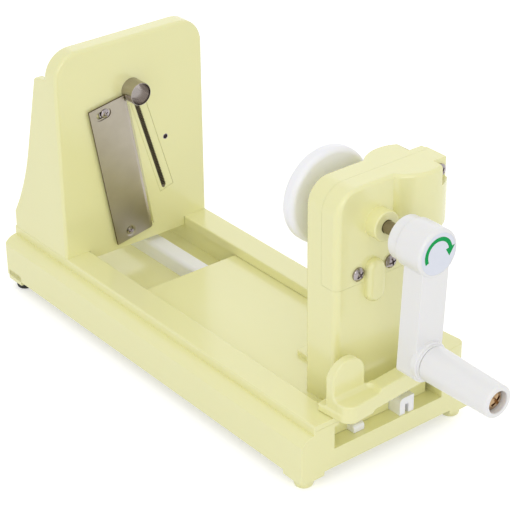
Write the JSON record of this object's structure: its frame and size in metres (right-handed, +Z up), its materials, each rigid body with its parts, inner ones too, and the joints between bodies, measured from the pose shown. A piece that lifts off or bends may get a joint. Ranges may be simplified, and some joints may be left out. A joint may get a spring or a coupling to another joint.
{
  "type": "hand cranked vegetable slicer",
  "caption": "Bench-top turning slicer with a lipped rail base, an upright blade stand, and a sliding carriage whose hand crank turns a spiked vegetable disc.",
  "frame": {"origin": "on the table plane under the middle of the whole object's box", "axes": "+X towards the crank, +Y to the side of the round housing, +Z up"},
  "size_m": [0.3944, 0.13, 0.1815],
  "materials": {
    "cream_plastic": "glossy pale yellow moulding",
    "white_plastic": "glossy white moulding",
    "steel": "brushed",
    "brass": "satin",
    "rubber": "matte",
    "label": "smooth pale label with a turning arrow"
  },
  "bodies": {
    "base": {"base_frame": "cream_plastic", "front_feet": "cream_plastic", "rear_feet": "rubber", "guide_rail": "white_plastic", "rail_screws": "steel", "blade_stand": "cream_plastic", "stand_screws": "steel", "slicing_blade": "steel", "blade_spacers": "steel", "upper_blade_screw": "steel", "lower_blade_screw": "steel", "core_tube": "steel", "comb_holder": "cream_plastic", "comb_blade": "steel", "insert_nut": "steel"},
    "carriage": {"slide_plate": "cream_plastic", "slide_block": "cream_plastic", "slide_shoe": "white_plastic", "carriage_column": "cream_plastic", "front_cover": "cream_plastic", "cover_screws": "steel", "column_screws": "steel", "tongue_screw": "steel", "front_bush": "white_plastic", "rear_bush": "white_plastic", "lever_pin": "steel"},
    "lever": {"release_lever": "cream_plastic"},
    "spindle": {"drive_shaft": "steel", "food_disc": "white_plastic", "holding_prongs": "steel", "disc_screw": "steel", "crank_arm": "white_plastic", "hub_label": "label", "hub_grub_screw": "steel", "grip_axle": "brass"},
    "grip": {"grip_sleeve": "white_plastic"}
  },
  "joints": [
    {"name": "carriage_slide", "type": "slide", "parent": "base", "child": "carriage", "axis": [-1, 0, 0], "range_m": [0, 0.16]},
    {"name": "release_hinge", "type": "hinge", "parent": "carriage", "child": "lever", "pos_m": [0.10278, 0.028, 0.0445], "axis": [0, 0, -1], "range_deg": [0, 4.5]},
    {"name": "crank_spin", "type": "hinge", "parent": "carriage", "child": "spindle", "pos_m": [0.11, 0, 0.1458], "axis": [-1, 0, 0], "continuous": true},
    {"name": "grip_spin", "type": "hinge", "parent": "spindle", "child": "grip", "pos_m": [0.17, -0.00342, 0.08059], "axis": [1, 0, 0], "continuous": true}
  ]
}
